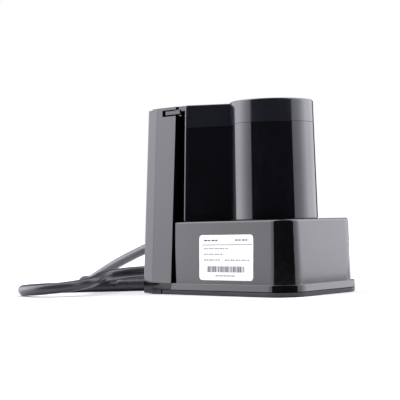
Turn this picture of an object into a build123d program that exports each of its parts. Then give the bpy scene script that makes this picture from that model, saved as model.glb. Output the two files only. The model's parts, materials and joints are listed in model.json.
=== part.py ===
from build123d import *
from math import atan2, cos, degrees, pi, radians, sin, tan
import os

# Two-dimensional scanning range finder on an L-shaped moulded housing.
# +X points out of the round front window, -Y out of the face with the rating label, +Z up.
# The origin is at the middle of the footprint, on the surface that the scanner stands on.

# ---- driving dimensions, mm ----
FRONT_X = 66.2          # front of the flange
REAR_X = -66.2          # rear face of the rear cover
HEIGHT = 131.5          # top of the cap
FLANGE_HALF = 42.2      # half the width of the flange
FLANGE_OVERHANG = 2.8   # flange beyond the foot of the box
BASE_THICK = 3.5        # base plate, from the floor up
FLANGE_TOP = 8.0
FLANGE_DRAFT = 4.0      # degrees
BOX_TOP = 50.5
WALL = 2.5              # moulded wall thickness
BOX_REAR_X = -36.8
FRONT_CORNER = 14.7     # vertical corner radius of the box at its foot
FRONT_DRAFT = 2.1       # degrees
SIDE_DRAFT = 2.0        # degrees
TOP_EDGE = 1.6          # rounding of the box's top edge

COLUMN_FRONT_X = -38.5
COLUMN_REAR_X = -56.8
COLUMN_TOP = 131.3
COLUMN_DRAFT = 4.4      # degrees, each side
PLATE_REAR_X = -48.0    # rear end of the base plate
COVER_FRONT_X = -57.3
COVER_STEP_X = -61.6
COVER_TOP = 130.4

AXIS_X = 21.0           # scan axis
DRUM_R = 30.1           # front drum of the window at the box top
DRUM_DRAFT = 1.1        # degrees
HEAD_REAR_X = -32.0     # rear face of the window and cap
HEAD_CORNER_Y = 37.4    # sharp rear corner of the head at the box top
HEAD_CORNER_DRAFT = 3.0  # degrees
HEAD_CORNER_R = 2.0
FLANK_ANGLE = 32.5      # degrees between a flank and the X axis
HEAD_WALL = 2.2
WINDOW_TOP = 116.0
CAP_GAP = 0.25          # gasket line between window and cap
CAP_ROOF = 128.6        # underside of the cap's top
HEAD_SEAT = 0.6         # gasket under the window
BRIDGE_BOTTOM = 128.0   # underside of the cap's bridge to the column

NOTCH_LENGTH = 13.0     # snap window in the column's side
NOTCH_TOP = 129.4
NOTCH_BOTTOM = 124.9

TAB_INSET = 1.1         # snap tab's face, in from the column's side
FLEX_SLOT = (-5.4, 5.4, 119.8, 122.8)   # Y and Z limits of the slot for the flat lead
SEAT_HOLE_R = 23.8      # opening in the box top, over the motor
SPINE_HALF = 26.0       # block between box and column
PASSAGE = (-18.0, 18.0, 14.0, 34.0)   # Y and Z limits of the opening into the column

LABEL = (48.0, 30.6, 0.15)
LABEL_CENTRE = (10.0, 25.7)   # X and Z

SHAFT_R = 2.0
RUNNING_GAP = 0.05      # radial clearance of every turning fit
BEARING_R = 5.0
BEARING_T = 4.0
TUBE_R = 6.5            # bearing tube of the motor base
BASE_DISC_Z = (43.5, 46.5)
BASE_DISC_R = 31.0
MIRROR_Z = 73.0         # scan axis meets the mirror here
CARRIER_R = 17.5
CARRIER_Z = (50.2, 91.0)

# Fixings: X and Y, or Y and Z on the rear.
BOSS_R = 3.4
SHANK_R = 1.5
BASE_SCREWS = [(-42.5, 34.5), (-42.5, -34.5), (10, 34.8), (10, -34.8), (57, 29), (57, -29)]
COVER_SCREWS = [(y, z) for z in (12.0, 104.0) for y in (-28.0, 28.0)]
MOTOR_SCREW_R = 1.0
MOTOR_SCREWS = [(AXIS_X + 28 * cos(radians(a)), 28 * sin(radians(a))) for a in (60, 180, 300)]
OPTICS_POSTS = [(AXIS_X + 20.5 * cos(radians(a)), 20.5 * sin(radians(a))) for a in (0, 120, 240)]
INSERT_R = 3.0
INSERT_BORE = 1.65      # M4 core hole
BASE_INSERTS = [(x, y) for x in (-15.0, 35.0) for y in (-22.5, 22.5)]
REAR_INSERTS = [(y, z) for z in (58.0, 98.0) for y in (-20.0, 20.0)]

GLAND_Z = {"power": 33.0, "network": 14.5}
CABLE_R = 3.75
PLUG_R = 7.25
PLUG_AXIS_Z = 7.3

# Cable routes: out of the gland, down to the floor and round to the plug.
POWER_ROUTE = [
    (-84, 0, 33), (-97, 0, 33), (-116, 0.8, 27.2), (-137, 3.2, 20.4), (-158, 4.6, 12.2),
    (-177, 7, 4.2), (-195, 15, CABLE_R), (-206, 32, CABLE_R), (-204.5, 53, CABLE_R),
    (-191, 69, CABLE_R), (-173.5, 76, 4.6), (-157, 76, PLUG_AXIS_Z),
]
NETWORK_ROUTE = [
    (-84, 0, 14.5), (-94.1, 0, 14.5), (-103.4, -3.85, 14.1), (-110.5, -11, 13.5), (-114.4, -20.3, 12.9),
    (-114.4, -37.2, 11.8), (-94.8, -63.5, 9), (-94.6, -84.8, 6.9), (-109.5, -99.7, 5.3),
    (-130.6, -99.7, 4.2), (-145.5, -84.8, CABLE_R), (-145.5, -63.7, CABLE_R), (-120, -38.2, CABLE_R),
    (-100, -21.5, CABLE_R), (-89.6, -8, CABLE_R), (-86.6, 5.8, 4.3), (-86.2, 18, PLUG_AXIS_Z),
]
PLUG_HEADING = {"power": (1, 0), "network": (0, 1)}


# ---- helpers ----
def write(shape, node):
    """One STEP file per node; several solids stay a group."""
    export_step(shape, f"parts/{node}.step")


def group(shapes):
    return Compound(children=list(shapes))


def disc(radius, low, high, x=AXIS_X, y=0.0):
    """Upright cylinder between two heights."""
    return Pos(x, y, (low + high) / 2) * Cylinder(radius, high - low)


def ring(outer, inner, low, high, x=AXIS_X, y=0.0):
    return disc(outer, low, high, x, y) - disc(inner, low - 1, high + 1, x, y)


def block(x0, x1, y0, y1, z0, z1):
    return Pos((x0 + x1) / 2, (y0 + y1) / 2, (z0 + z1) / 2) * Box(x1 - x0, y1 - y0, z1 - z0)


def plan_face(x0, x1, half, z, front_r=0.0, rear_r=0.0):
    """Rectangle in plan with its own front and rear corner radii."""
    face = Pos((x0 + x1) / 2, 0, 0) * Rectangle(x1 - x0, 2 * half)
    if front_r:
        face = fillet(face.vertices().group_by(Axis.X)[-1], front_r)
    if rear_r:
        face = fillet(face.vertices().group_by(Axis.X)[0], rear_r)
    return Pos(0, 0, z) * face


def plan_prism(x0, x1, half, low, high, front_r=0.0, rear_r=0.0):
    return extrude(plan_face(x0, x1, half, low, front_r, rear_r), high - low)


def box_block(inset, low, high):
    """The drafted box, or its cavity when inset by the wall."""
    faces = []
    for z in (low, high):
        rise = z - FLANGE_TOP
        front = FRONT_X - FLANGE_OVERHANG - rise * tan(radians(FRONT_DRAFT)) - inset
        half = FLANGE_HALF - FLANGE_OVERHANG - rise * tan(radians(SIDE_DRAFT)) - inset
        corner = FRONT_CORNER - rise * tan(radians(FRONT_DRAFT)) - inset
        faces.append(plan_face(BOX_REAR_X + inset, front, half, z, corner))
    return loft(faces, ruled=True)


def column_half(z):
    """Half width of the column's outside at a height; its foot is straight."""
    return FLANGE_HALF - max(0.0, z - FLANGE_TOP) * tan(radians(COLUMN_DRAFT))


def column_block(x0, x1, inset, low, high):
    """Drafted slab between two planes across the column."""
    outline = [
        (-column_half(low) + inset, low), (-FLANGE_HALF + inset, max(low, FLANGE_TOP)),
        (-column_half(high) + inset, high), (column_half(high) - inset, high),
        (FLANGE_HALF - inset, max(low, FLANGE_TOP)), (column_half(low) - inset, low),
    ]
    if low >= FLANGE_TOP:
        del outline[4], outline[1]
    face = make_face(Polyline(*outline, close=True))
    return extrude(Plane((x0, 0, 0), x_dir=(0, 1, 0), z_dir=(1, 0, 0)) * face, x1 - x0)


def drum_radius(z, inset=0.0):
    return DRUM_R - (z - BOX_TOP) * tan(radians(DRUM_DRAFT)) - inset


def head_corner(z, inset):
    """X and Y of the head's rear corner, before rounding."""
    slope = radians(FLANK_ANGLE)
    y = HEAD_CORNER_Y - (z - BOX_TOP) * tan(radians(HEAD_CORNER_DRAFT))
    return HEAD_REAR_X + inset, y - inset * tan(slope) - inset / cos(slope)


def head_block(inset, low, high):
    """Drum in front, two slanted flanks and a flat rear, as window and cap share it."""
    faces = []
    nose_x = AXIS_X - 15.0
    for z in (low, high):
        x, y = head_corner(z, inset)
        nose_y = y - (nose_x - x) * tan(radians(FLANK_ANGLE))
        face = make_face(Polyline((x, y), (nose_x, nose_y), (nose_x, -nose_y), (x, -y), close=True))
        corner = max(0.5, HEAD_CORNER_R - 0.5 * inset)
        faces.append(Pos(0, 0, z) * fillet(face.vertices().group_by(Axis.X)[0], corner))
    wedge = loft(faces, ruled=True)
    middle = (low + high) / 2
    drum = Pos(AXIS_X, 0, middle) * Cone(drum_radius(low, inset), drum_radius(high, inset), high - low)
    return drum + wedge


def screw(x, y, top, length, r=1.5, head_r=2.8, head_t=1.8, down=True):
    """Pan-head screw with a cross recess; its head's outer face is at top."""
    side = -1 if down else 1
    head = disc(head_r, *sorted((top, top + side * head_t)), x=x, y=y)
    shank = disc(r, *sorted((top + side * head_t, top + side * length)), x=x, y=y)
    recess = Pos(x, y, top) * (Box(2.4, 0.7, 1.4) + Box(0.7, 2.4, 1.4))
    return head + shank - recess


# ---- housing ----


def main_housing():
    """Box, flange and column in one moulding, open below the box and behind the column."""
    shell = box_block(0, FLANGE_TOP - 1, BOX_TOP)
    shell = fillet(shell.faces().sort_by(Axis.Z)[-1].edges().filter_by(
        lambda edge: edge.center().X > BOX_REAR_X + 1), TOP_EDGE)
    lean = (FLANGE_TOP - BASE_THICK) * tan(radians(FLANGE_DRAFT))
    flange = loft([
        plan_face(COLUMN_REAR_X, FRONT_X - inset, FLANGE_HALF - inset, z, FRONT_CORNER + FLANGE_OVERHANG - inset)
        for inset, z in ((0, BASE_THICK), (lean, FLANGE_TOP))
    ], ruled=True)
    flange = fillet(flange.faces().sort_by(Axis.Z)[-1].edges().filter_by(
        lambda edge: edge.center().X > COLUMN_FRONT_X), 0.5)
    shell += flange
    shell -= box_block(WALL, BASE_THICK - 1, BOX_TOP - WALL)
    column = column_block(COLUMN_REAR_X, COLUMN_FRONT_X, 0, BASE_THICK, COLUMN_TOP)
    column += block(COLUMN_REAR_X, PLATE_REAR_X - 0.4, -FLANGE_HALF, FLANGE_HALF, 0, BASE_THICK)
    column -= column_block(COLUMN_REAR_X - 1, COLUMN_FRONT_X - WALL, WALL, 6.0, COLUMN_TOP - WALL)
    shell += column
    shell += block(COLUMN_FRONT_X - 0.5, BOX_REAR_X + 0.5, -SPINE_HALF, SPINE_HALF, FLANGE_TOP - 1, 44)
    shell -= block(COLUMN_FRONT_X - WALL - 1, BOX_REAR_X + WALL + 1, *PASSAGE)
    shell -= disc(SEAT_HOLE_R, BOX_TOP - WALL - 1, BOX_TOP + 1)
    shell -= block(COLUMN_FRONT_X - WALL - 1, COLUMN_FRONT_X + 1, *FLEX_SLOT)
    for x, y in MOTOR_SCREWS:
        shell -= disc(MOTOR_SCREW_R, BOX_TOP - WALL - 1, BOX_TOP - 0.9, x, y)
    for side in (-1, 1):
        half = column_half(NOTCH_BOTTOM)
        y0, y1 = sorted((side * (half - 6), side * (half + 2)))
        shell -= block(COLUMN_FRONT_X - NOTCH_LENGTH, COLUMN_FRONT_X + 1, y0, y1, NOTCH_BOTTOM, NOTCH_TOP)
    for x, y in BASE_SCREWS:
        shell += disc(BOSS_R, BASE_THICK, 16 if x > PLATE_REAR_X + 8 else 6.2, x, y)
        shell -= disc(SHANK_R, BASE_THICK - 1, 13 if x > PLATE_REAR_X + 8 else 5.6, x, y)
    for y, z in COVER_SCREWS:
        post = Pos(COLUMN_REAR_X + 8, y, z) * Rot(0, 90, 0) * Cylinder(BOSS_R, 16)
        hole = Pos(COLUMN_REAR_X + 4, y, z) * Rot(0, 90, 0) * Cylinder(SHANK_R, 12)
        shell = shell + post - hole
    return shell


def base_plate():
    """Bottom cover, set into the housing's foot, with a bevelled lower edge."""
    plate = plan_prism(PLATE_REAR_X, FRONT_X - 0.2, FLANGE_HALF - 0.2, 0, BASE_THICK,
                       FRONT_CORNER + FLANGE_OVERHANG - 0.2, 0.8)
    plate = chamfer(plate.faces().sort_by(Axis.Z)[0].edges(), 0.7)
    plate = chamfer(plate.faces().sort_by(Axis.Z)[-1].edges(), 0.5)
    for x, y in BASE_SCREWS:
        plate -= disc(1.6, -1, BASE_THICK + 1, x, y) + disc(3.0, -1, 2.0, x, y)
    for x, y in BASE_INSERTS:
        plate += disc(4.6, BASE_THICK, BASE_THICK + 3, x, y)
        plate -= disc(INSERT_R, -1, BASE_THICK + 4, x, y)
    return plate


def rear_cover():
    """Tray behind the column: carries both cable glands and the mounting inserts."""
    outer = column_block(REAR_X, COVER_FRONT_X, 0.35, 0.6, COLUMN_TOP)
    outer -= block(REAR_X - 1, COVER_STEP_X, -50, 50, COVER_TOP, HEIGHT + 5)
    outer -= block(COVER_STEP_X - 0.4, COVER_STEP_X, -50, 50, COVER_TOP - 0.6, HEIGHT + 5)
    rim = outer.edges().filter_by_position(Axis.X, REAR_X - 0.01, REAR_X + 0.01)
    outer = fillet(rim, 1.2)
    outer -= column_block(REAR_X + 3, COVER_FRONT_X + 1, WALL + 0.2, 6.0, COLUMN_TOP - WALL - 1.4)
    for y, z in COVER_SCREWS:
        bore = Rot(0, 90, 0)
        outer += Pos((REAR_X + COVER_FRONT_X) / 2, y, z) * bore * Cylinder(4.6, COVER_FRONT_X - REAR_X)
        outer -= Pos(REAR_X, y, z) * bore * Cylinder(1.6, 60)
        outer -= Pos(REAR_X, y, z) * bore * Cylinder(3.0, 7.0)
    for y, z in REAR_INSERTS:
        outer += Pos(REAR_X + 4.5, y, z) * Rot(0, 90, 0) * Cylinder(4.6, 9.0)
        outer -= Pos(REAR_X + 3.0, y, z) * Rot(0, 90, 0) * Cylinder(INSERT_R, 8.0)
    for z in GLAND_Z.values():
        outer -= Pos(REAR_X, 0, z) * Rot(0, 90, 0) * Cylinder(6.05, 20)
    return outer


def gasket_ring(low, high):
    """Flat seal that follows the head's wall."""
    return head_block(0.4, low, high) - head_block(HEAD_WALL - 0.4, low - 1, high + 1)


def optical_window():
    low = BOX_TOP + HEAD_SEAT
    return head_block(0, low, WINDOW_TOP) - head_block(HEAD_WALL, low - 1, WINDOW_TOP + 1)


def top_cap():
    """Cap over the window, with a bridge plate that runs back and snaps into the column."""
    low = WINDOW_TOP + CAP_GAP
    cap = head_block(0, low, HEIGHT)
    cap = fillet(cap.faces().sort_by(Axis.Z)[-1].edges(), 1.0)
    cap -= head_block(HEAD_WALL, low - 1, CAP_ROOF)
    half = column_half(HEIGHT) - 1.5
    bridge = block(COLUMN_FRONT_X + 0.1, HEAD_REAR_X + 3, -half, half, BRIDGE_BOTTOM, COLUMN_TOP)
    bridge -= head_block(HEAD_WALL, low - 1, CAP_ROOF)
    duct = block(COLUMN_FRONT_X + 0.1, HEAD_REAR_X + 1, -7.5, 7.5, 117.5, BRIDGE_BOTTOM + 1)
    cap += bridge + duct
    cap -= block(COLUMN_FRONT_X - 1, HEAD_REAR_X + 4, *FLEX_SLOT)
    for side in (-1, 1):
        outer = column_half(NOTCH_BOTTOM) - TAB_INSET
        y0, y1 = sorted((side * outer, side * (outer - 2.2)))
        x0 = COLUMN_FRONT_X - NOTCH_LENGTH + 2.2
        cap += block(x0, COLUMN_FRONT_X + 3, y0, y1, NOTCH_BOTTOM + 1.2, NOTCH_TOP - 0.8)
        cap += block(COLUMN_FRONT_X + 0.1, COLUMN_FRONT_X + 3, y0, y1, NOTCH_BOTTOM + 1.2, BRIDGE_BOTTOM + 1)
    for x, y in OPTICS_POSTS:
        cap -= disc(1.25, CAP_ROOF - 1, CAP_ROOF + 1.2, x, y)
    return cap


def rating_label():
    """Blank adhesive plate on the drafted side of the box."""
    length, height, thick = LABEL
    x, z = LABEL_CENTRE
    y = -(FLANGE_HALF - FLANGE_OVERHANG) + (z - FLANGE_TOP) * tan(radians(SIDE_DRAFT))
    plate = extrude(RectangleRounded(length, height, 2.6), thick)
    return Pos(x, y - 0.02, z) * Rot(90 - SIDE_DRAFT, 0, 0) * plate


# ---- scan motor and mirror ----


def motor_base():
    """Flange under the box top, with the bearing tube that hangs into the stator."""
    body = disc(BASE_DISC_R, *BASE_DISC_Z) + disc(TUBE_R, 27, BASE_DISC_Z[1] + 1.0)
    body += ring(BASE_DISC_R, 22.0, BASE_DISC_Z[1], BOX_TOP - WALL)
    body -= disc(BEARING_R, 26, 31) + disc(BEARING_R, 43.5, BASE_DISC_Z[1] + 2)
    body -= disc(SHAFT_R + 0.8, 20, 60)
    for x, y in MOTOR_SCREWS:
        body -= disc(MOTOR_SCREW_R + 0.1, 40, 50, x, y)
    return body


def motor_screws():
    return group(screw(x, y, BASE_DISC_Z[0] - 1.4, 7.2, MOTOR_SCREW_R, 2.0, 1.4, down=False)
                 for x, y in MOTOR_SCREWS)


def bearing(low):
    """Deep-groove ball bearing; its bore runs on the shaft."""
    races = ring(BEARING_R, BEARING_R - 0.9, low, low + BEARING_T)
    races += ring(SHAFT_R + RUNNING_GAP + 0.9, SHAFT_R + RUNNING_GAP, low, low + BEARING_T)
    races += ring(BEARING_R - 0.9, SHAFT_R + RUNNING_GAP + 0.9, low + 0.5, low + BEARING_T - 0.5)
    return races


TEETH = 9
STATOR_Z = (29.0, 37.0)
TOOTH_TIP = 14.4


def motor_stator():
    """Laminated core: a hub, nine teeth and their shoes."""
    low, high = STATOR_Z
    core = ring(8.2, TUBE_R, low, high)
    rim = ring(TOOTH_TIP, TOOTH_TIP - 1.2, low, high)
    for k in range(TEETH):
        turn = Pos(AXIS_X, 0, 0) * Rot(0, 0, 360 / TEETH * k)
        core += turn * block(7.4, TOOTH_TIP - 0.6, -1.1, 1.1, low, high)
        rim -= turn * Rot(0, 0, 180 / TEETH) * block(TOOTH_TIP - 2, TOOTH_TIP + 1, -0.7, 0.7, low - 1, high + 1)
    return core + rim


def motor_windings():
    """One coil round each tooth."""
    low, high = STATOR_Z
    coils = []
    for k in range(TEETH):
        coil = block(8.9, 12.8, -2.2, 2.2, low - 1.2, high + 1.2)
        coil = fillet(coil.edges().filter_by(Axis.X), 0.9)
        coil -= block(8, 14, -1.1, 1.1, low, high)
        coils.append(Pos(AXIS_X, 0, 0) * Rot(0, 0, 360 / TEETH * k) * coil)
    return group(coils)


def motor_shaft():
    shaft = disc(SHAFT_R, 20.5, 57.0)
    return chamfer(shaft.edges().filter_by(GeomType.CIRCLE), 0.3)


def rotor_bell():
    """Outer rotor cup, pressed on the foot of the shaft."""
    bell = disc(18.6, 23.0, 39.5) - disc(17.4, 24.6, 41)
    bell += disc(4.6, 21.2, 26.2)
    bell -= disc(SHAFT_R, 20, 30)
    for k in range(6):
        angle = radians(60 * k)
        bell -= disc(2.6, 22, 25.5, AXIS_X + 11 * cos(angle), 11 * sin(angle))
    return bell


def rotor_magnets():
    """Twelve arc magnets inside the cup."""
    arcs = []
    tube = ring(17.4, 15.4, 27.5, 38.5)
    for k in range(12):
        slot = Rot(0, 0, 30 * k)
        cut = block(14, 19, -0.35, 0.35, 20, 45)
        arcs.append(Pos(AXIS_X, 0, 0) * slot * cut)
    for cut in arcs:
        tube -= cut
    return group(tube.solids())


def slanted_slab(low, high, size=120.0):
    """Slab between two planes at 45 degrees, measured along the mirror's normal."""
    slab = Pos(0, 0, (low + high) / 2) * Box(size, size, high - low)
    return Pos(AXIS_X, 0, MIRROR_Z) * Rot(0, 45, 0) * slab


def mirror_carrier():
    """Drum cut at 45 degrees, hollow below, clamped on the shaft."""
    body = disc(CARRIER_R, *CARRIER_Z)
    body -= slanted_slab(-2.0, 80)
    inside = disc(CARRIER_R - 2.2, CARRIER_Z[0] - 1, CARRIER_Z[1]) - slanted_slab(-4.6, 80)
    inside -= disc(5.0, CARRIER_Z[0] - 2, MIRROR_Z)
    body -= inside
    body += disc(5.0, 49.0, CARRIER_Z[0])
    body -= disc(SHAFT_R, 40, 57.0)
    return body


def scan_mirror():
    """Oval front-surface mirror on the slanted face."""
    return disc(CARRIER_R - 0.8, 40, 110) & slanted_slab(-2.0, 0)


def balance_weight():
    """Brass weight on the timing disc, under the low lip of the mirror."""
    return disc(2.2, ENCODER_Z[1], ENCODER_Z[1] + 2.8, AXIS_X + 9.5, 0)


ENCODER_R = 20.0
ENCODER_Z = (49.2, 50.2)


def encoder_disc():
    """Slotted timing disc under the carrier."""
    wheel = ring(ENCODER_R, 5.0, *ENCODER_Z)
    slots = [
        Pos(AXIS_X, 0, 0) * Rot(0, 0, 15 * k) * block(18.0, 19.2, -0.9, 0.9, 48, 52)
        for k in range(24)
    ]
    for slot in slots[1:]:
        wheel -= slot
    return wheel


def encoder_sensor():
    """Reflective sensor on a small board, under the timing disc."""
    x = AXIS_X - 18.6
    board = block(x - 0.6, x + 7.0, -5.0, 5.0, BASE_DISC_Z[1], BASE_DISC_Z[1] + 0.8)
    chip = block(x, x + 3.0, -1.5, 1.5, BASE_DISC_Z[1] + 0.8, BASE_DISC_Z[1] + 1.9)
    return board + chip


# ---- receiver and laser ----
LENS_R = 15.0
BARREL_Z = (96.0, 118.0)


def lens_barrel():
    """Receiver tube with a flange that hangs from the cap on three posts."""
    low, high = BARREL_Z
    body = ring(17.0, LENS_R, low, high)
    body += disc(23.0, high, high + 2.0) - disc(11.0, high - 1, high + 3)
    for x, y in OPTICS_POSTS:
        body -= disc(1.3, high - 1, high + 3, x, y)
    return body


def receiver_lens():
    """Plano-convex lens with a hole for the laser tube."""
    dome_r = 26.0
    low, high = 98.0, 100.5
    body = disc(LENS_R, low, high)
    cap = Pos(AXIS_X, 0, high + (LENS_R ** 2 / (2 * dome_r)) * 1.1 - dome_r) * Sphere(dome_r)
    body += cap & disc(LENS_R, high, high + 12)
    return body - disc(4.2, 90, 120)


def laser_tube():
    """Tube on the optical axis, held by three thin vanes."""
    tube = ring(4.2, 3.0, 95.5, 111.0)
    for k in range(3):
        tube += Pos(AXIS_X, 0, 0) * Rot(0, 0, 120 * k + 60) * block(3.8, LENS_R - 0.05, -0.5, 0.5, 107, 110)
    return tube


def collimator_lens():
    body = disc(3.0, 96.5, 98.0)
    dome = Pos(AXIS_X, 0, 98.0 + 0.9 - 5.5) * Sphere(5.5)
    return body + (dome & disc(3.0, 98.0, 101.0))


def laser_diode():
    """Can with a base flange and three pins."""
    can = disc(2.3, 104.5, 107.0) + disc(2.8, 107.0, 108.2)
    for k in range(3):
        angle = radians(120 * k)
        can += disc(0.22, 108.2, 111.0, AXIS_X + 1.1 * cos(angle), 1.1 * sin(angle))
    return can


def laser_board():
    board = disc(4.2, 111.0, 112.2)
    for k in range(3):
        angle = radians(120 * k)
        board -= disc(0.3, 110, 113, AXIS_X + 1.1 * cos(angle), 1.1 * sin(angle))
    return board + block(AXIS_X - 1.5, AXIS_X + 1.5, -2, 2, 112.2, 113.2)


def receiver_board():
    board = disc(19.0, 121.4, 123.0)
    for x, y in OPTICS_POSTS:
        board -= disc(3.2, 120, 124, x, y)
    board += block(AXIS_X - 6, AXIS_X + 2, 4, 12, 123.0, 124.4)
    board += block(AXIS_X - 4, AXIS_X + 4, -12, -7, 123.0, 124.2)
    return board


def light_detector():
    """Avalanche diode can that looks down the barrel."""
    return disc(4.6, 118.6, 121.4) + disc(5.2, 120.6, 121.4)


def optics_posts():
    """Hex posts between barrel flange and cap."""
    posts = []
    for x, y in OPTICS_POSTS:
        post = extrude(Pos(x, y, 120.0) * RegularPolygon(2.6, 6), CAP_ROOF - 120.0)
        posts.append(post + disc(1.2, 118.0, 120.0, x, y) + disc(1.2, CAP_ROOF, CAP_ROOF + 1.1, x, y))
    return group(posts)


# ---- electronics ----
MAIN_BOARD_X = (-46.6, -45.0)
DRIVE_BOARD_Z = (11.0, 12.6)
DRIVE_POSTS = [(x, y) for x in (-24.0, 44.0) for y in (-26.0, 26.0)]


def main_board():
    x0, x1 = MAIN_BOARD_X
    board = block(x0, x1, -26, 26, 20, 100)
    return board - block(x0 - 1, x1 + 1, -26.1, -14, 40, 46)


def main_board_chips():
    """Processor, memory, converters and connectors on the column's board."""
    x0 = MAIN_BOARD_X[0]
    sizes = [
        (-8, 8, 62, 78, 1.6), (12, 21, 66, 76, 1.2), (-22, -14, 66, 74, 1.2), (-10, -2, 46, 52, 2.4),
        (4, 16, 44, 52, 3.4), (-20, -6, 24, 32, 6.0), (4, 20, 24, 32, 6.0), (-6, 6, 88, 93, 2.8),
    ]
    return group(block(x0 - t, x0, y0, y1, z0, z1) for y0, y1, z0, z1, t in sizes)


def main_board_posts():
    """Spacers between the column's front wall and its board."""
    posts = []
    for y in (-22.5, 22.5):
        for z in (23.5, 96.5):
            low, high = MAIN_BOARD_X[1], COLUMN_FRONT_X - WALL
            posts.append(Pos((low + high) / 2, y, z) * Rot(0, 90, 0) * Cylinder(2.5, high - low))
    return group(posts)


def drive_board():
    """Motor drive and supply board over the base plate."""
    low, high = DRIVE_BOARD_Z
    board = plan_prism(-28, 49, 30, low, high, 8, 2)
    for x, y in DRIVE_POSTS:
        board -= disc(SHANK_R + 0.1, low - 1, high + 1, x, y)
    return board


def drive_board_parts():
    """Capacitors, choke, bridge and headers on the drive board."""
    top = DRIVE_BOARD_Z[1]
    parts = [disc(4.0, top, top + 9.5, x, -20) for x in (-18, -8)]
    parts += [block(-20, -8, 12, 24, top, top + 6), block(-4, 4, 14, 22, top, top + 2)]
    parts += [block(34, 42, -8, 8, top, top + 1.6), block(-26, -20, -6, 10, top, top + 7)]
    return group(parts)


def board_posts():
    return group(ring(2.8, 1.3, BASE_THICK, DRIVE_BOARD_Z[0], x, y) for x, y in DRIVE_POSTS)


def board_screws():
    top = DRIVE_BOARD_Z[1] + 1.6
    return group(screw(x, y, top, 7.5, 1.3, 2.6, 1.6) for x, y in DRIVE_POSTS)


def flat_flex():
    """Flat lead from the column's board, through the cap's bridge, to the receiver board."""
    half, thick = 5.0, 0.3
    rise_x, top = -43.2, 121.4
    lead = block(rise_x, rise_x + thick, -half, half, 92.0, top)
    lead += block(rise_x, AXIS_X - 16, -half, half, top - thick, top)
    return lead + block(MAIN_BOARD_X[1], rise_x + thick, -half, half, 92.0, 92.0 + thick)


# ---- fixings ----
def base_screws():
    return group(screw(x, y, 0.4, 9.0 if x > PLATE_REAR_X + 8 else 5.0, 1.45, 2.7, 1.5, down=False)
                 for x, y in BASE_SCREWS)


def cover_screws():
    """Screws through the rear cover into the column's posts."""
    made = []
    for y, z in COVER_SCREWS:
        one = screw(0, 0, 0, 12.0, 1.45, 2.7, 1.8, down=True)
        made.append(Pos(REAR_X + 1.6, y, z) * Rot(0, -90, 0) * one)
    return group(made)


def base_inserts():
    return group(ring(INSERT_R, INSERT_BORE, 0.3, BASE_THICK + 2.5, x, y) for x, y in BASE_INSERTS)


def rear_inserts():
    """Blind brass inserts for mounting the scanner on a wall plate."""
    made = []
    for y, z in REAR_INSERTS:
        tube = Cylinder(INSERT_R, 6.7) - Pos(0, 0, -0.6) * Cylinder(INSERT_BORE, 6.7)
        made.append(Pos(REAR_X + 0.3 + 6.7 / 2, y, z) * Rot(0, 90, 0) * tube)
    return group(made)


# ---- glands, cables and plugs ----
def gland(z):
    """Moulded gland with a ribbed, tapered sleeve."""
    turn = Rot(0, -90, 0)
    body = Pos(REAR_X, 0, z) * turn * (Pos(0, 0, 1.5) * Cylinder(7.8, 3.0))
    body += Pos(REAR_X - 3.0, 0, z) * turn * (Pos(0, 0, 7.4) * Cone(6.0, 4.9, 14.8))
    for k in range(4):
        groove = Cylinder(8.0, 1.2) - Cylinder(5.35 - 0.22 * k, 1.4)
        body -= Pos(REAR_X - 6.0 - 2.8 * k, 0, z) * turn * groove
    body += Pos(REAR_X + 3.0, 0, z) * turn * Cylinder(6.0, 6.0)
    return body


def gland_nuts():
    """Hex nuts inside the rear cover."""
    made = []
    for z in GLAND_Z.values():
        nut = extrude(RegularPolygon(8.4, 6), 2.4) - Pos(0, 0, 1) * Cylinder(6.0, 6)
        made.append(Pos(REAR_X + 3.05, 0, z) * Rot(0, 90, 0) * nut)
    return group(made)


def route_radii(points):
    """Arc radius at each inner point: 0.45 of the shorter run over the tangent of half the turn."""
    radii = []
    for a, b, c in zip(points, points[1:], points[2:]):
        run_in, run_out = Vector(b) - Vector(a), Vector(c) - Vector(b)
        turn = radians(run_in.get_angle(run_out))
        radii.append(0.45 * min(run_in.length, run_out.length) / tan(turn / 2))
    return radii


def cable(points, name):
    """Round tube along straight runs joined by tangent arcs."""
    radii = route_radii(points)
    path = FilletPolyline(*points, radius=radii)
    start = Plane(path @ 0, z_dir=path % 0)
    tube = sweep(start * Circle(CABLE_R), path=path)
    ideal = pi * CABLE_R ** 2 * path.length
    print(name, "length", round(path.length, 1), "tightest", round(min(radii), 1),
          "volume ratio", round(tube.volume / ideal, 4))
    print(name, "radii", [round(r) for r in radii])
    return tube


BOOT_LENGTH = 14.0
BODY_LENGTH = 17.0
SLEEVE_R = 5.0
SLEEVE_LENGTH = 14.0
NUT_GRIP = 8.0
NUT_THREAD = 6.2


def plug_shell():
    """Overmoulded boot and body, with the sleeve that the coupling nut turns on; along +Z."""
    body = Pos(0, 0, BOOT_LENGTH / 2) * Cone(4.6, 5.7, BOOT_LENGTH)
    for k in range(4):
        groove = Cylinder(8.0, 1.2) - Cylinder(4.35 + 0.22 * k, 1.4)
        body -= Pos(0, 0, 2.4 + 2.8 * k) * groove
    grip = Pos(0, 0, BOOT_LENGTH + BODY_LENGTH / 2) * Cylinder(PLUG_R - 0.1, BODY_LENGTH)
    grip = chamfer(grip.edges().filter_by(GeomType.CIRCLE), 0.7)
    for k in range(8):
        rib = Pos(PLUG_R + 0.3, 0, BOOT_LENGTH + BODY_LENGTH / 2) * Cylinder(0.9, BODY_LENGTH - 5)
        grip -= Rot(0, 0, 45 * k) * rib
    low = BOOT_LENGTH + BODY_LENGTH
    sleeve = Pos(0, 0, low + SLEEVE_LENGTH / 2) * Cylinder(SLEEVE_R, SLEEVE_LENGTH)
    sleeve -= Pos(0, 0, low + SLEEVE_LENGTH) * Cylinder(4.3, 12.0)
    return body + grip + sleeve


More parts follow.
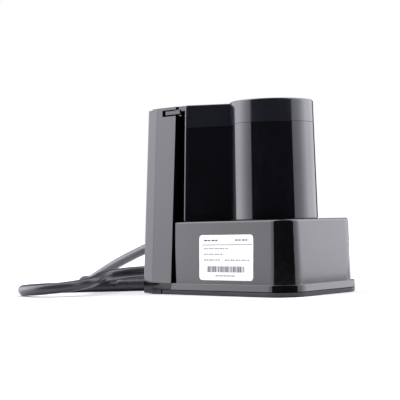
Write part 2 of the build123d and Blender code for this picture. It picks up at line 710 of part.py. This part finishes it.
def plug_insert():
    """Contact carrier with four pins, inside the sleeve."""
    seat = BOOT_LENGTH + BODY_LENGTH + SLEEVE_LENGTH - 6.0
    carrier = Pos(0, 0, seat + 0.75) * Cylinder(4.3, 1.5)
    for k in range(4):
        carrier += Rot(0, 0, 90 * k + 45) * Pos(2.1, 0, seat + 3.4) * Cylinder(0.5, 4.0)
    return carrier


def plug_nut():
    """Knurled coupling nut with an outside thread, free to turn on the sleeve."""
    low = BOOT_LENGTH + BODY_LENGTH + 0.4
    grip = Pos(0, 0, low + NUT_GRIP / 2) * Cylinder(PLUG_R, NUT_GRIP)
    grip = chamfer(grip.edges().filter_by(GeomType.CIRCLE), 0.5)
    for k in range(24):
        flute = Pos(PLUG_R + 0.35, 0, low + NUT_GRIP / 2) * Cylinder(0.7, NUT_GRIP + 1)
        grip -= Rot(0, 0, 15 * k) * flute
    thread = Pos(0, 0, low + NUT_GRIP + NUT_THREAD / 2 - 0.5) * Cylinder(6.0, NUT_THREAD + 1.0)
    nut = grip + thread
    return nut - Pos(0, 0, low) * Cylinder(SLEEVE_R + RUNNING_GAP, 60)


def place_plug(shape, name, route):
    """Turn a plug piece so that its +Z follows the cable's end."""
    hx, hy = PLUG_HEADING[name]
    x, y, z = route[-1]
    return Pos(x, y, z) * Rot(0, 0, degrees(atan2(hy, hx))) * Rot(0, 90, 0) * shape


def main():
    os.makedirs("parts", exist_ok=True)
    write(main_housing(), "main_housing")
    write(base_plate(), "base_plate")
    write(rear_cover(), "rear_cover")
    write(gasket_ring(BOX_TOP, BOX_TOP + HEAD_SEAT), "window_gasket")
    write(optical_window(), "optical_window")
    write(gasket_ring(WINDOW_TOP, WINDOW_TOP + CAP_GAP), "cap_gasket")
    write(top_cap(), "top_cap")
    write(rating_label(), "rating_label")
    write(motor_base(), "motor_base")
    write(motor_screws(), "motor_screws")
    write(bearing(27.0), "lower_bearing")
    write(bearing(43.5), "upper_bearing")
    write(motor_stator(), "motor_stator")
    write(motor_windings(), "motor_windings")
    write(motor_shaft(), "motor_shaft")
    write(rotor_bell(), "rotor_bell")
    write(rotor_magnets(), "rotor_magnets")
    write(mirror_carrier(), "mirror_carrier")
    write(scan_mirror(), "scan_mirror")
    write(balance_weight(), "balance_weight")
    write(encoder_disc(), "encoder_disc")
    write(encoder_sensor(), "encoder_sensor")
    write(lens_barrel(), "lens_barrel")
    write(receiver_lens(), "receiver_lens")
    write(laser_tube(), "laser_tube")
    write(collimator_lens(), "collimator_lens")
    write(laser_diode(), "laser_diode")
    write(laser_board(), "laser_board")
    write(receiver_board(), "receiver_board")
    write(light_detector(), "light_detector")
    write(optics_posts(), "optics_posts")
    write(main_board(), "main_board")
    write(main_board_chips(), "main_board_chips")
    write(main_board_posts(), "main_board_posts")
    write(drive_board(), "drive_board")
    write(drive_board_parts(), "drive_board_parts")
    write(board_posts(), "board_posts")
    write(board_screws(), "board_screws")
    write(flat_flex(), "flat_flex")
    write(base_screws(), "base_screws")
    write(cover_screws(), "cover_screws")
    write(base_inserts(), "base_inserts")
    write(rear_inserts(), "rear_inserts")
    write(gland_nuts(), "gland_nuts")
    routes = {"power": POWER_ROUTE, "network": NETWORK_ROUTE}
    for name, route in routes.items():
        write(gland(GLAND_Z[name]), f"{name}_gland")
        write(cable(route, f"{name}_cable"), f"{name}_cable")
        write(place_plug(plug_shell(), name, route), f"{name}_plug_shell")
        write(place_plug(plug_insert(), name, route), f"{name}_plug_insert")
        write(place_plug(plug_nut(), name, route), f"{name}_plug_nut")


main()
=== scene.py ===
import json
from math import pi, radians, sin

import bpy
from bpy.props import FloatProperty, FloatVectorProperty, PointerProperty
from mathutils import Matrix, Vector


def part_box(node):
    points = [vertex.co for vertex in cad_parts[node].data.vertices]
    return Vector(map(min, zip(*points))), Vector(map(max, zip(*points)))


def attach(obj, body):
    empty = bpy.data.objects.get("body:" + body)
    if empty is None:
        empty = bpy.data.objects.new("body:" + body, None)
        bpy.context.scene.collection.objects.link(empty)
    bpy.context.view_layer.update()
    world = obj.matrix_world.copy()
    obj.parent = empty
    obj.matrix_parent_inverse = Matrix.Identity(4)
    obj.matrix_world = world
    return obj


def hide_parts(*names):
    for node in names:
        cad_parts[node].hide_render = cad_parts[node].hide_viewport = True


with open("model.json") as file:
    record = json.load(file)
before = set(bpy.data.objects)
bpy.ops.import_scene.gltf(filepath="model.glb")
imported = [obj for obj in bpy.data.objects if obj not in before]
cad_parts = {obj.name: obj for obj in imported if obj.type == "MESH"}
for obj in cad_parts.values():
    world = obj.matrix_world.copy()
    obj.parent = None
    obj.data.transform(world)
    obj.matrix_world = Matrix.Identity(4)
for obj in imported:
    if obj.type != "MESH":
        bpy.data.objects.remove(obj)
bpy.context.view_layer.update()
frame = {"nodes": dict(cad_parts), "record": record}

bl_info = {
    "name": "Scanning Range Finder",
    "version": (1, 0, 0),
    "blender": (4, 5, 0),
    "location": "3D View > Sidebar > Scanner",
    "description": "Finishes, label, leads and studio for the scanning range finder",
    "category": "Object",
}

MM = 0.001

# Routes of the two leads, in millimetres: out of the gland, down to the floor and round to the plug.
LEAD_R = 3.75
PLUG_Z = 7.3
ROUTES = {
    "power": [
        (-84, 0, 33), (-97, 0, 33), (-116, 0.8, 27.2), (-137, 3.2, 20.4), (-158, 4.6, 12.2),
        (-177, 7, 4.2), (-195, 15, LEAD_R), (-206, 32, LEAD_R), (-204.5, 53, LEAD_R),
        (-191, 69, LEAD_R), (-173.5, 76, 4.6), (-157, 76, PLUG_Z),
    ],
    "network": [
        (-84, 0, 14.5), (-94.1, 0, 14.5), (-103.4, -3.85, 14.1), (-110.5, -11, 13.5), (-114.4, -20.3, 12.9),
        (-114.4, -37.2, 11.8), (-94.8, -63.5, 9), (-94.6, -84.8, 6.9), (-109.5, -99.7, 5.3),
        (-130.6, -99.7, 4.2), (-145.5, -84.8, LEAD_R), (-145.5, -63.7, LEAD_R), (-120, -38.2, LEAD_R),
        (-100, -21.5, LEAD_R), (-89.6, -8, LEAD_R), (-86.6, 5.8, 4.3), (-86.2, 18, PLUG_Z),
    ],
}

# The stretch of the network lead that the sleeve covers, in metres, and how far its ends tuck into the lead.
SLEEVE_X = (-0.109, -0.092)
SLEEVE_Y = (-0.031, -0.010)
SLEEVE_TOP = 0.005
SLEEVE_TUCK = 0.0002
SLEEVE_COLOUR = (0.05, 0.05, 0.055)


# ---- settings that a user would change ----
class ScannerStudio(bpy.types.PropertyGroup):
    """Camera, floor and lights."""
    camera_place: FloatVectorProperty(name="Camera place", description="Where the camera stands",
                                      default=(0.5398, -0.6417, 0.0511), subtype="TRANSLATION", unit="LENGTH")
    camera_heading: FloatProperty(name="Heading", description="Turn of the camera about the vertical",
                                  default=radians(42.5), subtype="ANGLE", unit="ROTATION")
    camera_roll: FloatProperty(name="Roll", description="Tilt of the camera about its line of sight",
                               default=radians(1.43), subtype="ANGLE", unit="ROTATION")
    lens: FloatProperty(name="Lens", description="Focal length in millimetres", default=107.7)
    shift: FloatProperty(name="Rise", description="Upward shift of the lens", default=0.051)
    floor_colour: FloatVectorProperty(name="Floor", description="Colour of the floor",
                                      default=(0.80, 0.80, 0.80), subtype="COLOR", min=0, max=1)
    soft_boxes: FloatProperty(name="Soft boxes", description="Brightness of the two soft boxes", default=6.4)
    top_power: FloatProperty(name="Top soft box", description="Power of the overhead soft box",
                             default=6.0, subtype="POWER", unit="POWER")


class ScannerFinish(bpy.types.PropertyGroup):
    """Colours and gloss of the visible finishes."""
    housing: FloatVectorProperty(name="Housing", description="Colour of the moulded housing",
                                 default=(0.003, 0.003, 0.0035), subtype="COLOR", min=0, max=1)
    window: FloatVectorProperty(name="Window", description="Colour of the infrared window",
                                default=(0.004, 0.004, 0.0055), subtype="COLOR", min=0, max=1)
    cap: FloatVectorProperty(name="Cap", description="Colour of the cap",
                             default=(0.011, 0.0125, 0.016), subtype="COLOR", min=0, max=1)
    jacket: FloatVectorProperty(name="Jacket", description="Colour of the leads",
                                default=(0.042, 0.042, 0.047), subtype="COLOR", min=0, max=1)
    paper: FloatVectorProperty(name="Label", description="Colour of the rating label",
                               default=(0.82, 0.82, 0.82), subtype="COLOR", min=0, max=1)
    ink: FloatVectorProperty(name="Ink", description="Colour of the marks on the label",
                             default=(0.018, 0.017, 0.018), subtype="COLOR", min=0, max=1)


class ScannerLeads(bpy.types.PropertyGroup):
    """The two leads."""
    diameter: FloatProperty(name="Diameter", description="Diameter of both leads",
                            default=2 * LEAD_R * MM, unit="LENGTH")
    sleeve_wall: FloatProperty(name="Sleeve wall", description="How far the sleeve stands off the lead",
                               default=0.0008, unit="LENGTH")


# ---- materials ----
def new_material(name):
    """An empty node material: returns it, its node tree and its shader."""
    material = bpy.data.materials.new(name)
    material.use_nodes = True
    return material, material.node_tree, material.node_tree.nodes["Principled BSDF"]


def add(tree, kind, **inputs):
    """A node with some of its sockets set by name."""
    node = tree.nodes.new(kind)
    for key, value in inputs.items():
        node.inputs[key.replace("_", " ")].default_value = value
    return node


def place(tree, scale=(1, 1, 1), turn=(0, 0, 0)):
    """Object coordinates through a mapping."""
    where = add(tree, "ShaderNodeTexCoord")
    mapping = add(tree, "ShaderNodeMapping", Scale=scale, Rotation=turn)
    tree.links.new(where.outputs["Object"], mapping.inputs["Vector"])
    return mapping.outputs["Vector"]


def noise(tree, vector, scale, detail=3.0, rough=0.5):
    """A noise pattern at the given place."""
    node = add(tree, "ShaderNodeTexNoise", Scale=scale, Detail=detail, Roughness=rough)
    tree.links.new(vector, node.inputs["Vector"])
    return node.outputs["Fac"]


def spread(tree, value, low, high, start=0.3, end=0.7):
    """Maps a pattern to a range of values."""
    node = add(tree, "ShaderNodeMapRange", From_Min=start, From_Max=end, To_Min=low, To_Max=high)
    tree.links.new(value, node.inputs["Value"])
    return node.outputs["Result"]


def tint(tree, value, dark, light, start=0.3, end=0.7):
    """Maps a pattern to two colours."""
    ramp = tree.nodes.new("ShaderNodeValToRGB")
    ramp.color_ramp.elements[0].position = start
    ramp.color_ramp.elements[1].position = end
    ramp.color_ramp.elements[0].color = (*dark, 1)
    ramp.color_ramp.elements[1].color = (*light, 1)
    tree.links.new(value, ramp.inputs["Fac"])
    return ramp.outputs["Color"]


def relief(tree, shader, height, strength, distance):
    """Bump from a pattern."""
    bump = add(tree, "ShaderNodeBump", Strength=strength, Distance=distance)
    tree.links.new(height, bump.inputs["Height"])
    tree.links.new(bump.outputs["Normal"], shader.inputs["Normal"])


def scaled(colour, factor):
    """A lighter or darker shade, never above full."""
    return tuple(min(1.0, part * factor) for part in colour[:3])


def moulded(name, colour, roughness, ior=1.5, peel=0.02, grain=900.0, vary=0.15):
    """Moulded plastic: faint clouds in the colour, uneven gloss and a fine skin."""
    material, tree, shader = new_material(name)
    vector = place(tree)
    clouds = noise(tree, vector, 35.0, 4.0)
    tree.links.new(tint(tree, clouds, scaled(colour, 1 - vary), scaled(colour, 1 + vary)),
                   shader.inputs["Base Color"])
    smudge = noise(tree, place(tree, (1, 1, 0.35)), 60.0, 5.0, 0.6)
    tree.links.new(spread(tree, smudge, roughness * 0.8, roughness * 1.25), shader.inputs["Roughness"])
    relief(tree, shader, noise(tree, vector, grain, 2.0), peel, 0.0001)
    shader.inputs["IOR"].default_value = ior
    return material


def metal(name, colour, roughness, stretch=(1, 1, 12), scale=220.0):
    """Turned or drawn metal with a fine lay."""
    material, tree, shader = new_material(name)
    lay = noise(tree, place(tree, stretch), scale, 5.0, 0.65)
    tree.links.new(tint(tree, lay, scaled(colour, 0.82), scaled(colour, 1.08)), shader.inputs["Base Color"])
    tree.links.new(spread(tree, lay, roughness * 0.7, roughness * 1.3), shader.inputs["Roughness"])
    relief(tree, shader, lay, 0.08, 0.0001)
    shader.inputs["Metallic"].default_value = 1.0
    return material


def clear(name, colour, ior):
    """Coated lens glass with the faintest smear."""
    material, tree, shader = new_material(name)
    smear = noise(tree, place(tree), 90.0, 3.0)
    tree.links.new(spread(tree, smear, 0.01, 0.04), shader.inputs["Roughness"])
    tree.links.new(tint(tree, smear, scaled(colour, 0.96), colour), shader.inputs["Base Color"])
    shader.inputs["Transmission Weight"].default_value = 1.0
    shader.inputs["IOR"].default_value = ior
    return material


def circuit(name, mask, copper):
    """Solder mask with darker copper runs below it."""
    material, tree, shader = new_material(name)
    cells = tree.nodes.new("ShaderNodeTexVoronoi")
    cells.distance = "MANHATTAN"
    cells.feature = "F1"
    cells.inputs["Scale"].default_value = 420.0
    tree.links.new(place(tree), cells.inputs["Vector"])
    tree.links.new(tint(tree, cells.outputs["Distance"], copper, mask, 0.42, 0.5),
                   shader.inputs["Base Color"])
    relief(tree, shader, cells.outputs["Distance"], 0.15, 0.0001)
    shader.inputs["Roughness"].default_value = 0.35
    return material


def wound(name, colour, pitch):
    """Enamelled wire in close turns, with painted shade darkening the grooves between them."""
    material, tree, shader = new_material(name)
    turns = add(tree, "ShaderNodeTexWave", Scale=1 / pitch, Distortion=0.6, Detail=1.0)
    turns.bands_direction = "Z"
    tree.links.new(place(tree), turns.inputs["Vector"])
    # Painted shade: the copper falls to about a third of its colour where the bump is low, in the grooves
    # between turns.
    tree.links.new(tint(tree, turns.outputs["Fac"], scaled(colour, 0.35), colour, 0.1, 0.8),
                   shader.inputs["Base Color"])
    relief(tree, shader, turns.outputs["Fac"], 0.6, 0.0003)
    shader.inputs["Metallic"].default_value = 0.8
    shader.inputs["Roughness"].default_value = 0.3
    return material


def label_film(name, colour):
    """Satin label film with a soft fibre tone."""
    material, tree, shader = new_material(name)
    fibres = noise(tree, place(tree), 1400.0, 4.0)
    tree.links.new(tint(tree, fibres, scaled(colour, 0.97), colour), shader.inputs["Base Color"])
    relief(tree, shader, fibres, 0.04, 0.0001)
    tree.links.new(spread(tree, fibres, 0.32, 0.42), shader.inputs["Roughness"])
    return material


def ink(name, colour):
    """Thermal print: a little uneven."""
    material, tree, shader = new_material(name)
    speck = noise(tree, place(tree), 2600.0, 3.0)
    tree.links.new(tint(tree, speck, scaled(colour, 0.8), scaled(colour, 1.7)), shader.inputs["Base Color"])
    shader.inputs["Roughness"].default_value = 0.5
    return material


def floor_paint(name, colour):
    """Matt sweep with a trace of mottling."""
    material, tree, shader = new_material(name)
    mottle = noise(tree, place(tree), 3.0, 4.0)
    tree.links.new(tint(tree, mottle, scaled(colour, 0.99), colour), shader.inputs["Base Color"])
    shader.inputs["Roughness"].default_value = 0.65
    shader.inputs["Specular IOR Level"].default_value = 0.2
    return material


# ---- mesh helpers ----
def deselect():
    """Leaves edit mode and selects nothing."""
    if bpy.context.object and bpy.context.object.mode != "OBJECT":
        bpy.ops.object.mode_set(mode="OBJECT")
    bpy.ops.object.select_all(action="DESELECT")


def dress(piece, material):
    """Gives a new piece its only material."""
    piece.data.materials.clear()
    piece.data.materials.append(material)


def apply_all(piece):
    """Applies every modifier, and leaves the piece at the origin."""
    deselect()
    piece.select_set(True)
    bpy.context.view_layer.objects.active = piece
    for modifier in list(piece.modifiers):
        bpy.ops.object.modifier_apply(modifier=modifier.name)
    bpy.ops.object.transform_apply(location=True, rotation=True, scale=True)


# ---- stage ----
class SCANNER_OT_camera(bpy.types.Operator):
    """Stand the camera level with the box top, in front of the label's corner"""
    bl_idname = "scanner.camera"
    bl_label = "Camera"

    def execute(self, context):
        studio = context.scene.scanner_studio
        deselect()
        bpy.ops.object.camera_add(location=studio.camera_place,
                                  rotation=(pi / 2, studio.camera_roll, studio.camera_heading))
        camera = context.object
        camera.name = "studio_camera"
        camera.data.lens = studio.lens
        camera.data.sensor_width = 36.0
        camera.data.shift_y = studio.shift
        camera.data.clip_start = 0.01
        camera.data.dof.use_dof = False
        context.scene.camera = camera
        return {"FINISHED"}


FLOOR_SIZE = 3.0
TOP_HEIGHT = 1.7        # of the overhead soft box
TOP_SIZE = 1.2
# Brightness of the soft boxes round the object: angle from the camera in degrees, share of full.
SOFT_BOX_PROFILE = [
    (-152, 0.01), (-144, 0.40), (-120, 0.70), (-102, 1.00),
    (-88, 0.78), (-75, 0.53), (-63, 0.375), (-62, 0.004),
    (52, 0.004), (53, 0.375), (75, 0.53), (88, 0.80),
    (102, 1.00), (120, 0.70), (144, 0.40), (152, 0.01),
]
# The same by height: sine of the elevation, share of full.
HEIGHT_PROFILE = [(0.0, 0.78), (0.03, 0.85), (0.07, 0.82), (0.12, 0.9), (0.2, 1.0), (0.85, 1.0), (1.0, 0.8)]
SOFT_BOX_TINT = (0.98, 0.97, 1.06, 1)
CAMERA_BEARING = radians(-47.5)


def curve_of(tree, value, points):
    """Value through a ramp of (place, share) points."""
    ramp = tree.nodes.new("ShaderNodeValToRGB")
    stops = ramp.color_ramp.elements
    while len(stops) < len(points):
        stops.new(0.5)
    for stop, (where, share) in zip(stops, points):
        stop.position = where
        stop.color = (share, share, share, 1)
    tree.links.new(value, ramp.inputs["Fac"])
    return ramp.outputs["Color"]


def times(tree, first, second):
    """Product of two sockets, or of a socket and a number."""
    node = tree.nodes.new("ShaderNodeMath")
    node.operation = "MULTIPLY"
    for value, socket in ((first, node.inputs[0]), (second, node.inputs[1])):
        if isinstance(value, float):
            socket.default_value = value
        else:
            tree.links.new(value, socket)
    return node.outputs["Value"]


class SCANNER_OT_studio(bpy.types.Operator):
    """Lay the floor and set the soft boxes round it"""
    bl_idname = "scanner.studio"
    bl_label = "Studio"

    def execute(self, context):
        studio = context.scene.scanner_studio
        deselect()
        bpy.ops.mesh.primitive_plane_add(size=FLOOR_SIZE, location=(0, 0, 0))
        floor = context.object
        floor.name = "floor"
        dress(floor, floor_paint("floor_paint", studio.floor_colour))
        bpy.ops.object.light_add(type="AREA", location=(0, 0, TOP_HEIGHT))
        top = context.object
        top.name = "top_soft_box"
        top.data.size = TOP_SIZE
        top.data.energy = studio.top_power
        self.surround(context.scene, studio)
        context.scene.view_settings.view_transform = "Standard"
        return {"FINISHED"}

    def surround(self, scene, studio):
        """White to the camera, and a pair of graded soft boxes to everything else."""
        scene.world = bpy.data.worlds.new("soft_boxes")
        scene.world.use_nodes = True
        tree = scene.world.node_tree
        where = tree.nodes.new("ShaderNodeTexCoord")
        turned = add(tree, "ShaderNodeMapping", Rotation=(0, 0, -CAMERA_BEARING))
        tree.links.new(where.outputs["Generated"], turned.inputs["Vector"])
        split = tree.nodes.new("ShaderNodeSeparateXYZ")
        tree.links.new(turned.outputs["Vector"], split.inputs["Vector"])
        angle = tree.nodes.new("ShaderNodeMath")
        angle.operation = "ARCTAN2"
        tree.links.new(split.outputs["Y"], angle.inputs[0])
        tree.links.new(split.outputs["X"], angle.inputs[1])
        share = spread(tree, angle.outputs["Value"], 0.0, 1.0, -pi, pi)
        around = curve_of(tree, share, [(degrees / 360 + 0.5, level) for degrees, level in SOFT_BOX_PROFILE])
        upward = curve_of(tree, split.outputs["Z"], HEIGHT_PROFILE)
        glow = tree.nodes["Background"]
        tree.links.new(times(tree, times(tree, around, upward), studio.soft_boxes), glow.inputs["Strength"])
        white = add(tree, "ShaderNodeBackground", Color=(1, 1, 1, 1), Strength=1.0)
        glow.inputs["Color"].default_value = SOFT_BOX_TINT
        path = tree.nodes.new("ShaderNodeLightPath")
        mix = tree.nodes.new("ShaderNodeMixShader")
        tree.links.new(path.outputs["Is Camera Ray"], mix.inputs["Fac"])
        tree.links.new(glow.outputs["Background"], mix.inputs[1])
        tree.links.new(white.outputs["Background"], mix.inputs[2])
        tree.links.new(mix.outputs["Shader"], tree.nodes["World Output"].inputs["Surface"])


# ---- leads ----
def make_lead(name, material, diameter):
    """Free lead along its route, as one smooth spline."""
    route = ROUTES[name]
    curve = bpy.data.curves.new(name + "_lead", "CURVE")
    curve.dimensions = "3D"
    spline = curve.splines.new("NURBS")
    spline.points.add(len(route) - 1)
    for point, (x, y, z) in zip(spline.points, route):
        point.co = (x * MM, y * MM, z * MM, 1)
    spline.order_u = 3
    spline.use_endpoint_u = True
    spline.resolution_u = 12
    curve.resolution_u = 12
    curve.bevel_depth = diameter / 2
    curve.bevel_resolution = 9
    curve.use_fill_caps = True
    lead = bpy.data.objects.new(name + "_lead", curve)
    bpy.context.scene.collection.objects.link(lead)
    curve.materials.append(material)
    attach(lead, "housing")
    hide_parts(name + "_cable")
    return lead


def line_of(lead):
    """Points along a lead's own spline."""
    bare = lead.data.copy()
    bare.bevel_depth = 0.0
    bare.use_fill_caps = False
    probe = bpy.data.objects.new("probe", bare)
    mesh = bpy.data.meshes.new_from_object(probe)
    points = [vertex.co.copy() for vertex in mesh.vertices]
    bpy.data.objects.remove(probe)
    bpy.data.meshes.remove(mesh)
    return points


class SCANNER_OT_leads(bpy.types.Operator):
    """Lay the power and network leads on the floor, and the sleeve on the network lead"""
    bl_idname = "scanner.leads"
    bl_label = "Leads"

    def execute(self, context):
        leads = context.scene.scanner_leads
        finish = context.scene.scanner_finish
        jacket = moulded("lead_jacket", finish.jacket, 0.32, 1.5, 0.10, 1500.0, 0.2)
        power = make_lead("power", jacket, leads.diameter)
        network = make_lead("network", jacket, leads.diameter)
        sleeve = self.sleeve(line_of(network), leads)
        return {"FINISHED"}

    def sleeve(self, line, leads):
        """Shrunk sleeve round the network lead, with a soft shoulder at each end."""
        run = [p for p in line
               if SLEEVE_X[0] < p.x < SLEEVE_X[1] and SLEEVE_Y[0] < p.y < SLEEVE_Y[1] and p.z < SLEEVE_TOP]
        radius = leads.diameter / 2 + leads.sleeve_wall
        path = bpy.data.curves.new("network_sleeve", "CURVE")
        path.dimensions = "3D"
        path.bevel_depth = radius
        path.bevel_resolution = 7
        path.use_fill_caps = True
        spline = path.splines.new("POLY")
        spline.points.add(len(run) - 1)
        for point, place_on_lead in zip(spline.points, run):
            point.co = (*place_on_lead, 1)
            point.co.z += leads.sleeve_wall
        for end in (spline.points[0], spline.points[-1]):
            end.radius = (leads.diameter / 2 - SLEEVE_TUCK) / radius
        sleeve = bpy.data.objects.new("network_sleeve", path)
        bpy.context.scene.collection.objects.link(sleeve)
        deselect()
        sleeve.select_set(True)
        bpy.context.view_layer.objects.active = sleeve
        bpy.ops.object.convert(target="MESH")
        bpy.ops.object.shade_smooth_by_angle(angle=radians(50))
        sleeve = bpy.context.object
        dress(sleeve, moulded("shrink_sleeve", SLEEVE_COLOUR, 0.28, 1.5, 0.06, 500.0, 0.2))
        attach(sleeve, "housing")
        return sleeve


# ---- label ----
LABEL_SLOPE = radians(2.0)      # the box side leans in
PRINT_THICK = 0.00003
PRINT_LIFT = 0.00001            # gap between the film's face and the back of the print
# Places on the label are fractions of its width and height, from its top left corner.
WORD_WIDTHS = (0.82, 0.68, 0.86, 0.60)      # shares of the pitch, in turn
WORD_INSET = 0.32                           # share of the line's height left free above and below
STRIPES_LEFT = 0.145
STRIPES_RIGHT = 0.835
STRIPES_HEIGHT = (0.69, 0.822)
STRIPE_STEP = 0.0053
# Widths in steps: a bar, a gap, a bar and so on.
STRIPE_WIDTHS = (1, 2, 1, 1, 3, 1, 2, 1, 1, 1, 2, 2, 1, 1, 2, 1, 3, 1, 1, 1, 3, 1, 1, 2, 1, 2, 1, 1, 2, 1)


class SCANNER_OT_label(bpy.types.Operator):
    """Print plain bars, a rule and a stripe pattern on the rating label"""
    bl_idname = "scanner.label"
    bl_label = "Label print"

    def execute(self, context):
        self.low, self.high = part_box("rating_label")
        deselect()
        bpy.ops.object.add(type="MESH", location=(0, 0, 0))
        piece = context.object
        piece.name = "label_print"
        bpy.ops.object.mode_set(mode="EDIT")
        self.heading()
        self.lines()
        self.stripes()
        bpy.ops.object.mode_set(mode="OBJECT")
        thick = piece.modifiers.new("thickness", "SOLIDIFY")
        thick.thickness = PRINT_THICK
        thick.offset = 1.0
        apply_all(piece)
        dress(piece, ink("label_ink", context.scene.scanner_finish.ink))
        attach(piece, "housing")
        return {"FINISHED"}

    def mark(self, x0, x1, z0, z1):
        """One printed rectangle."""
        width, height = self.high.x - self.low.x, self.high.z - self.low.z
        down = (z0 + z1) / 2
        middle = (self.low.x + (x0 + x1) / 2 * width,
                  self.low.y + (1 - down) * height * sin(LABEL_SLOPE) - PRINT_LIFT,
                  self.high.z - down * height)
        tall = (z1 - z0) * height
        bpy.ops.mesh.select_all(action="DESELECT")
        bpy.ops.mesh.primitive_plane_add(size=1.0, location=middle, rotation=(pi / 2 - LABEL_SLOPE, 0, 0))
        bpy.ops.transform.resize(value=((x1 - x0) * width, tall, tall), center_override=middle)

    def words(self, x0, x1, z0, z1, count):
        """A row of plain short bars in place of a line of small print."""
        pitch = (x1 - x0) / count
        inset = WORD_INSET * (z1 - z0)
        for k in range(count):
            wide = pitch * WORD_WIDTHS[k % len(WORD_WIDTHS)]
            self.mark(x0 + k * pitch, x0 + k * pitch + wide, z0 + inset, z1 - inset)

    def heading(self):
        self.words(0.09, 0.375, 0.075, 0.168, 4)
        self.words(0.675, 0.925, 0.075, 0.160, 4)
        self.mark(0.05, 0.985, 0.212, 0.228)

    def lines(self):
        self.words(0.085, 0.55, 0.275, 0.335, 9)
        self.words(0.085, 0.45, 0.395, 0.455, 7)
        self.words(0.085, 0.41, 0.522, 0.585, 6)
        self.words(0.48, 0.94, 0.522, 0.585, 9)
        self.words(0.31, 0.675, 0.868, 0.932, 10)

    def stripes(self):
        """A plain pattern of bars and gaps in three widths, which holds no code."""
        x = STRIPES_LEFT
        k = 0
        while x < STRIPES_RIGHT:
            wide = STRIPE_WIDTHS[k % len(STRIPE_WIDTHS)] * STRIPE_STEP
            if k % 2 == 0:
                self.mark(x, x + wide, *STRIPES_HEIGHT)
            x += wide
            k += 1


# ---- finishes of the CAD nodes ----
def finishes(look):
    """Every record slot with its material."""
    return {
        "housing_black": moulded("gloss_housing", look.housing, 0.07, 1.52, 0.02, 700.0),
        "cover_black": moulded("gloss_cover", look.housing, 0.09, 1.60, 0.02, 700.0),
        "base_black": moulded("base_plastic", look.housing, 0.16, 1.5, 0.05, 900.0),
        "window_black": moulded("window_filter", look.window, 0.035, 1.52, 0.006, 300.0),
        "cap_black": moulded("cap_plastic", look.cap, 0.12, 1.52, 0.02, 700.0),
        "seal_rubber": moulded("seal_rubber", (0.004, 0.004, 0.004), 0.6, 1.45, 0.1, 1200.0),
        "label_white": label_film("label_film", look.paper),
        "machined_aluminium": metal("machined_aluminium", (0.72, 0.72, 0.74), 0.28, (6, 6, 1)),
        "anodised_black": moulded("anodised_black", (0.02, 0.02, 0.022), 0.42, 1.6, 0.12, 2200.0),
        "screw_steel": metal("screw_steel", (0.50, 0.50, 0.51), 0.30),
        "bearing_steel": metal("bearing_steel", (0.66, 0.66, 0.67), 0.15),
        "bell_steel": metal("bell_steel", (0.56, 0.56, 0.58), 0.24),
        "core_steel": metal("core_steel", (0.38, 0.38, 0.39), 0.35, (1, 1, 60)),
        "magnet_grey": metal("magnet_grey", (0.30, 0.30, 0.31), 0.30),
        "winding_copper": wound("winding_copper", (0.62, 0.28, 0.12), 0.0004),
        "brass_parts": metal("brass_parts", (0.74, 0.55, 0.26), 0.26),
        "nut_nickel": metal("nut_nickel", (0.64, 0.62, 0.58), 0.22),
        "mirror_silver": metal("mirror_silver", (0.92, 0.92, 0.94), 0.02, (1, 1, 1), 40.0),
        "lens_glass": clear("lens_glass", (0.90, 0.95, 0.98), 1.52),
        "board_green": circuit("board_green", (0.012, 0.12, 0.05), (0.02, 0.20, 0.07)),
        "chip_black": moulded("chip_black", (0.02, 0.02, 0.021), 0.5, 1.5, 0.15, 3000.0),
        "flex_amber": moulded("flex_amber", (0.55, 0.27, 0.05), 0.30, 1.5, 0.05, 800.0),
        "moulded_black": moulded("moulded_black", (0.020, 0.020, 0.022), 0.38, 1.5, 0.12, 1800.0),
        "cable_jacket": moulded("jacket_stub", look.jacket, 0.42, 1.5, 0.10, 1500.0),
    }


class SCANNER_OT_finishes(bpy.types.Operator):
    """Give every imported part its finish"""
    bl_idname = "scanner.finishes"
    bl_label = "Finishes"

    def execute(self, context):
        ready = finishes(context.scene.scanner_finish)
        for part in frame["record"]["subparts"]:
            node = frame["nodes"][part["node"]]
            for holder in node.material_slots:
                holder.material = ready[part["material_slot"]]
        return {"FINISHED"}


# ---- panel and registration ----
class SCANNER_PT_panel(bpy.types.Panel):
    """Buttons for each step of the scanner"""
    bl_idname = "SCANNER_PT_panel"
    bl_label = "Scanner"
    bl_space_type = "VIEW_3D"
    bl_region_type = "UI"
    bl_category = "Scanner"

    def draw(self, context):
        for operator in OPERATORS:
            self.layout.operator(operator.bl_idname)
        for group in ("scanner_studio", "scanner_finish", "scanner_leads"):
            settings = getattr(context.scene, group)
            column = self.layout.column(align=True)
            for name in settings.bl_rna.properties.keys():
                if name not in ("rna_type", "name"):
                    column.prop(settings, name)


OPERATORS = (SCANNER_OT_camera, SCANNER_OT_leads, SCANNER_OT_studio, SCANNER_OT_label, SCANNER_OT_finishes)
GROUPS = {"scanner_studio": ScannerStudio, "scanner_finish": ScannerFinish, "scanner_leads": ScannerLeads}


def register():
    for name, group in GROUPS.items():
        bpy.utils.register_class(group)
        setattr(bpy.types.Scene, name, PointerProperty(type=group))
    for operator in OPERATORS:
        bpy.utils.register_class(operator)
    bpy.utils.register_class(SCANNER_PT_panel)


def unregister():
    bpy.utils.unregister_class(SCANNER_PT_panel)
    for operator in reversed(OPERATORS):
        bpy.utils.unregister_class(operator)
    for name, group in GROUPS.items():
        delattr(bpy.types.Scene, name)
        bpy.utils.unregister_class(group)


def main():
    register()
    bpy.ops.scanner.camera()
    bpy.ops.scanner.leads()
    bpy.ops.scanner.studio()
    bpy.ops.scanner.label()
    bpy.ops.scanner.finishes()


if __name__ == "__main__":
    main()
